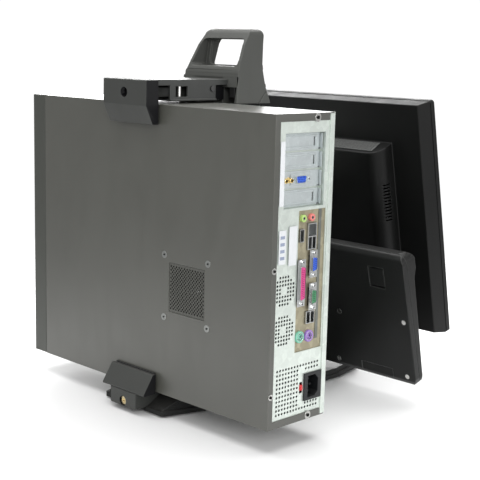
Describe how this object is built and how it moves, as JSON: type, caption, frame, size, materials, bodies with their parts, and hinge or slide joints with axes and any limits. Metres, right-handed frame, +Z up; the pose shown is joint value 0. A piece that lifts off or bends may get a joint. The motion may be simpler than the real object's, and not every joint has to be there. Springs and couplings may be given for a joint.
{
  "type": "portable computer workstation stand",
  "caption": "Carry stand clamping a slim desktop computer upright, with a tilting flat monitor and a stowed keyboard behind it.",
  "frame": {"origin": "middle of the footprint box, on the surface that the base stands on", "axes": "+Z up; the screen faces -Y and the computer's outer cover faces +Y; the computer's rear sockets face -X and its front bezel faces +X"},
  "size_m": [0.47, 0.4206, 0.4625],
  "materials": {
    "stand_plastic": "fine-grained dark moulding",
    "rubber": "matt black rubber",
    "jaw_plastic": "satin charcoal moulding",
    "zinc_screw": "yellow zinc plated steel",
    "post_steel": "plain drawn steel",
    "arm_metal": "satin charcoal powder coat",
    "bright_screw": "nickel plated",
    "knob_plastic": "black moulding",
    "handle_plastic": "satin charcoal moulding",
    "monitor_plastic": "fine-grained black moulding",
    "screen": "anti-glare film",
    "shield_steel": "zinc coated sheet",
    "button_plastic": "satin",
    "keyboard_plastic": "fine-grained black moulding",
    "key_plastic": "textured key tops",
    "galvanised": "bright galvanised sheet",
    "cover_paint": "satin grey powder coat",
    "bezel_plastic": "satin moulding",
    "silver_plastic": "silver",
    "drive_metal": "plain sheet",
    "tray_plastic": "black moulding",
    "board_green": "solder mask",
    "heatsink": "extruded",
    "fan_plastic": "black moulding",
    "inlet_plastic": "dark moulding",
    "switch_red": "red moulding",
    "shield_beige": "thin stamped steel",
    "jack_lime": "coloured socket",
    "port_metal": "tinned steel shells",
    "dsub_blue": "coloured insulator",
    "ps2_violet": "coloured socket"
  },
  "bodies": {
    "stand": {"base": "stand_plastic", "base_pads": "rubber", "column_post": "post_steel", "column_cover": "stand_plastic", "keyboard_ledge": "stand_plastic", "monitor_arm": "arm_metal", "tilt_pin": "bright_screw", "pc_chassis": "galvanised", "rear_panel": "galvanised", "pc_cover": "cover_paint", "side_grille": "cover_paint", "pc_bezel": "bezel_plastic", "pc_screws": "bright_screw", "optical_drive": "drive_metal", "hard_drive": "drive_metal", "motherboard": "board_green", "cpu_cooler": "heatsink", "psu_case": "drive_metal", "power_inlet": "inlet_plastic", "slot_covers": "galvanised", "video_card": "board_green", "io_shield": "shield_beige", "audio_jacks": "jack_lime", "data_ports": "port_metal", "d_sub_ports": "dsub_blue", "ps2_ports": "ps2_violet", "rear_fan_frames": "fan_plastic"},
    "head": {"top_arm": "arm_metal", "clamp_pins": "bright_screw", "arm_screws": "bright_screw", "handle": "handle_plastic", "handle_caps": "handle_plastic"},
    "top_jaw": {"top_jaw": "jaw_plastic", "top_jaw_pad": "rubber"},
    "lower_jaw": {"lower_jaw": "jaw_plastic", "lower_jaw_pad": "rubber", "lower_jaw_screw": "zinc_screw"},
    "lock_knob": {"lock_knob": "knob_plastic"},
    "monitor": {"monitor_back": "monitor_plastic", "monitor_bezel": "monitor_plastic", "lcd_panel": "screen", "monitor_board": "shield_steel", "mount_plate": "post_steel"},
    "monitor_power_button": {"monitor_power_button": "button_plastic"},
    "monitor_menu_keys": {"monitor_menu_keys": "button_plastic"},
    "keyboard": {"keyboard_base": "keyboard_plastic", "keyboard_top": "keyboard_plastic", "keyboard_screws": "bright_screw"},
    "key_caps": {"key_caps": "key_plastic"},
    "space_bar": {"space_bar": "key_plastic"},
    "keyboard_foot_left": {"keyboard_foot_left": "keyboard_plastic"},
    "keyboard_foot_right": {"keyboard_foot_right": "keyboard_plastic"},
    "disc_tray": {"disc_tray": "tray_plastic"},
    "eject_button": {"eject_button": "silver_plastic"},
    "power_button": {"power_button": "silver_plastic"},
    "cpu_fan": {"cpu_fan": "fan_plastic"},
    "psu_fan": {"psu_fan": "fan_plastic"},
    "rear_fan_upper": {"rear_fan_upper": "fan_plastic"},
    "rear_fan_lower": {"rear_fan_lower": "fan_plastic"},
    "voltage_switch": {"voltage_switch": "switch_red"}
  },
  "joints": [
    {"name": "head_height", "type": "slide", "parent": "stand", "child": "head", "axis": [0, 0, 1], "range_m": [0, 0.03]},
    {"name": "top_jaw_reach", "type": "slide", "parent": "head", "child": "top_jaw", "axis": [0, 1, 0], "range_m": [0, 0.025]},
    {"name": "lower_jaw_reach", "type": "slide", "parent": "stand", "child": "lower_jaw", "axis": [0, 1, 0], "range_m": [0, 0.025]},
    {"name": "lock_knob_turn", "type": "hinge", "parent": "head", "child": "lock_knob", "pos_m": [0.056, 0.047, 0.39], "axis": [1, 0, 0], "range_deg": [-180, 180]},
    {"name": "monitor_tilt", "type": "hinge", "parent": "stand", "child": "monitor", "pos_m": [0, -0.0993, 0.234], "axis": [1, 0, 0], "range_deg": [-8, 15]},
    {"name": "monitor_power_press", "type": "slide", "parent": "monitor", "child": "monitor_power_button", "axis": [0, 0.9781, -0.2079], "range_m": [0, 0.0012], "stiffness_N_per_m": 250, "springref_m": -0.001},
    {"name": "monitor_menu_press", "type": "slide", "parent": "monitor", "child": "monitor_menu_keys", "axis": [0, 0.9781, -0.2079], "range_m": [0, 0.0012], "stiffness_N_per_m": 250, "springref_m": -0.001},
    {"name": "keyboard_slide", "type": "slide", "parent": "stand", "child": "keyboard", "axis": [-1, 0, 0], "range_m": [0, 0.35]},
    {"name": "key_press", "type": "slide", "parent": "keyboard", "child": "key_caps", "axis": [0, 0.9673, -0.2538], "range_m": [0, 0.003], "stiffness_N_per_m": 500, "springref_m": -0.001},
    {"name": "space_bar_press", "type": "slide", "parent": "keyboard", "child": "space_bar", "axis": [0, 0.9673, -0.2538], "range_m": [0, 0.003], "stiffness_N_per_m": 250, "springref_m": -0.001},
    {"name": "foot_left_flip", "type": "hinge", "parent": "keyboard", "child": "keyboard_foot_left", "pos_m": [-0.1925, -0.0318, 0.17631], "axis": [1, 0, 0], "range_deg": [0, 80]},
    {"name": "foot_right_flip", "type": "hinge", "parent": "keyboard", "child": "keyboard_foot_right", "pos_m": [0.1925, -0.0318, 0.17631], "axis": [1, 0, 0], "range_deg": [0, 80]},
    {"name": "disc_tray_slide", "type": "slide", "parent": "stand", "child": "disc_tray", "axis": [1, 0, 0], "range_m": [0, 0.13]},
    {"name": "eject_press", "type": "slide", "parent": "stand", "child": "eject_button", "axis": [-1, 0, 0], "range_m": [0, 0.0015], "stiffness_N_per_m": 300, "springref_m": -0.001},
    {"name": "power_press", "type": "slide", "parent": "stand", "child": "power_button", "axis": [-1, 0, 0], "range_m": [0, 0.0025], "stiffness_N_per_m": 300, "springref_m": -0.001},
    {"name": "cpu_fan_spin", "type": "hinge", "parent": "stand", "child": "cpu_fan", "pos_m": [-0.0885, 0.149, 0.1615], "axis": [0, 1, 0], "continuous": true},
    {"name": "psu_fan_spin", "type": "hinge", "parent": "stand", "child": "psu_fan", "pos_m": [-0.136, 0.1395, 0.086], "axis": [0, 0, 1], "continuous": true},
    {"name": "rear_fan_upper_spin", "type": "hinge", "parent": "stand", "child": "rear_fan_upper", "pos_m": [-0.216, 0.167, 0.182], "axis": [1, 0, 0], "continuous": true},
    {"name": "rear_fan_lower_spin", "type": "hinge", "parent": "stand", "child": "rear_fan_lower", "pos_m": [-0.216, 0.167, 0.1375], "axis": [1, 0, 0], "continuous": true},
    {"name": "voltage_slide", "type": "slide", "parent": "stand", "child": "voltage_switch", "axis": [0, 0, 1], "range_m": [-0.003, 0.003]}
  ]
}
